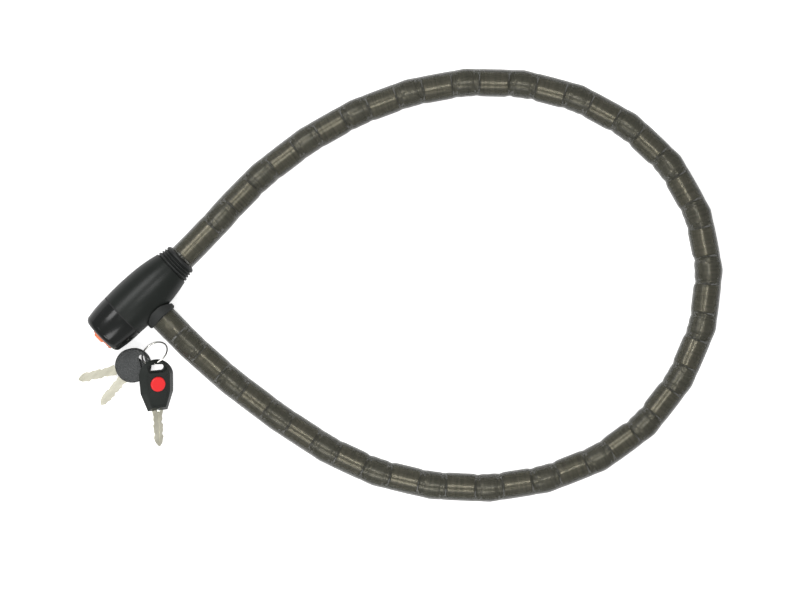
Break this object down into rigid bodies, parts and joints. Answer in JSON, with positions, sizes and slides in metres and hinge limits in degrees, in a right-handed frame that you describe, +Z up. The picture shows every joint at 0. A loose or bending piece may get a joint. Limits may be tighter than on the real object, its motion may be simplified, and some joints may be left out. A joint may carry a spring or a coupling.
{
  "type": "armoured key cable lock",
  "caption": "Armoured steel cable lock in a clear smoky sleeve, with a barrel-shaped key head, plug-in end, swing keyhole cover and a bunch of keys.",
  "frame": {"origin": "on the floor, straight below the crossing of the head's axis and the plug's axis", "axes": "+X runs along the head towards the keyhole, +Y runs out of the plug socket, +Z is up from the floor that the lock lies on"},
  "size_m": [0.4733, 0.3835, 0.04],
  "materials": {
    "shell_black": "satin moulded plastic over the cast body",
    "cap_black": "polished moulded plastic",
    "collar_black": "soft matte moulding",
    "cast_zinc": "as cast",
    "brass": "machined",
    "hard_steel": "turned and hardened",
    "spring_steel": "bright drawn wire",
    "cover_orange": "soft satin moulded plastic",
    "smoky_sleeve": "clear smoky soft plastic tube",
    "barrel_steel": "zinc plated and brushed round",
    "rope_steel": "stranded wire rope",
    "bow_black": "grained moulded plastic with a smooth rim",
    "key_nickel": "nickel plated and brushed",
    "lamp_shell": "fine satin moulded plastic",
    "button_red": "soft moulded push button",
    "cell_steel": "plated coin cell",
    "lamp_clear": "clear epoxy lamp"
  },
  "bodies": {
    "head": {"head_shell": "shell_black", "lock_core": "cast_zinc", "end_cap": "cap_black", "collar": "collar_black", "anchor_ferrule": "hard_steel", "anchor_pin": "hard_steel", "cylinder_housing": "brass", "housing_pin": "hard_steel", "spring_screw": "hard_steel", "socket_bush": "hard_steel", "latch_spring": "spring_steel", "cover_pin": "hard_steel", "sleeve_1": "smoky_sleeve", "barrels_1": "barrel_steel", "rings_1": "barrel_steel", "rope_1": "rope_steel"},
    "rotor": {"rotor": "brass", "wafers": "brass", "rotor_clip": "spring_steel"},
    "latch": {"latch": "hard_steel"},
    "cover": {"key_cover": "cover_orange"},
    "cable_2": {"sleeve_2": "smoky_sleeve", "barrels_2": "barrel_steel", "rings_2": "barrel_steel", "rope_2": "rope_steel"},
    "cable_3": {"sleeve_3": "smoky_sleeve", "barrels_3": "barrel_steel", "rings_3": "barrel_steel", "rope_3": "rope_steel"},
    "plug": {"sleeve_4": "smoky_sleeve", "barrels_4": "barrel_steel", "rings_4": "barrel_steel", "rope_4": "rope_steel", "plug_pin": "hard_steel", "plug_cap": "collar_black", "plug_ferrule": "barrel_steel", "ferrule_rivet": "barrel_steel"},
    "key_ring": {"split_ring": "spring_steel"},
    "key_a": {"key_a_bow": "bow_black", "key_a_blade": "key_nickel"},
    "key_b": {"key_b_bow": "bow_black", "key_b_blade": "key_nickel"},
    "lamp_key": {"lamp_key_lower": "lamp_shell", "lamp_key_upper": "lamp_shell", "lamp_key_blade": "key_nickel", "lamp_cells": "cell_steel", "lamp_contact": "brass", "key_lamp": "lamp_clear"},
    "button": {"lamp_button": "button_red"}
  },
  "joints": [
    {"name": "key_turn", "type": "hinge", "parent": "head", "child": "rotor", "pos_m": [0.02, 0, 0.02], "axis": [-1, 0, 0], "range_deg": [0, 90]},
    {"name": "latch_drop", "type": "slide", "parent": "head", "child": "latch", "axis": [0, 0, -1], "range_m": [0, 0.00311], "deforming": ["latch_spring"]},
    {"name": "cover_swing", "type": "hinge", "parent": "head", "child": "cover", "pos_m": [0.0465, 0.0099, 0.02], "axis": [-1, 0, 0], "range_deg": [0, 80]},
    {"name": "cable_open", "type": "hinge", "parent": "head", "child": "cable_2", "pos_m": [-0.13495, -0.00383, 0.01312], "axis": [0, 0, -1], "range_deg": [0, 10.98]},
    {"name": "cable_bend", "type": "hinge", "parent": "cable_2", "child": "cable_3", "pos_m": [-0.3745, 0.17154, 0.011], "axis": [0, 0, 1], "range_deg": [0, 23.58]},
    {"name": "cable_unbend", "type": "hinge", "parent": "cable_3", "child": "plug", "pos_m": [-0.12982, 0.32949, 0.011], "axis": [0, 0, -1], "range_deg": [0, 12.6]},
    {"name": "ring_lift", "type": "slide", "parent": "head", "child": "key_ring", "axis": [0, 0, 1], "range_m": [0, 0.12]},
    {"name": "key_a_swing", "type": "hinge", "parent": "key_ring", "child": "key_a", "pos_m": [0.03748, 0.03802, 0.00875], "axis": [0.0815, 0.0081, 0.9966], "range_deg": [-15, 0]},
    {"name": "key_b_swing", "type": "hinge", "parent": "key_ring", "child": "key_b", "pos_m": [0.03497, 0.03351, 0.00544], "axis": [0.0815, 0.0081, 0.9966], "range_deg": [-8, 8]},
    {"name": "lamp_key_swing", "type": "hinge", "parent": "key_ring", "child": "lamp_key", "pos_m": [0.03275, 0.0465, 0.01102], "axis": [0, 0, 1], "range_deg": [0, 24]},
    {"name": "button_press", "type": "slide", "parent": "lamp_key", "child": "button", "axis": [0.1308, -0.365, -0.9218], "range_m": [0, 0.0008], "stiffness_N_per_m": 900, "springref_m": -0.0004}
  ],
  "couplings": [
    {"joint": "key_turn", "follows": "latch_drop", "rad_per_m": 504.87},
    {"joint": "cable_bend", "follows": "cable_open", "ratio": 2.1014},
    {"joint": "cable_unbend", "follows": "cable_open", "ratio": 1.1014}
  ]
}
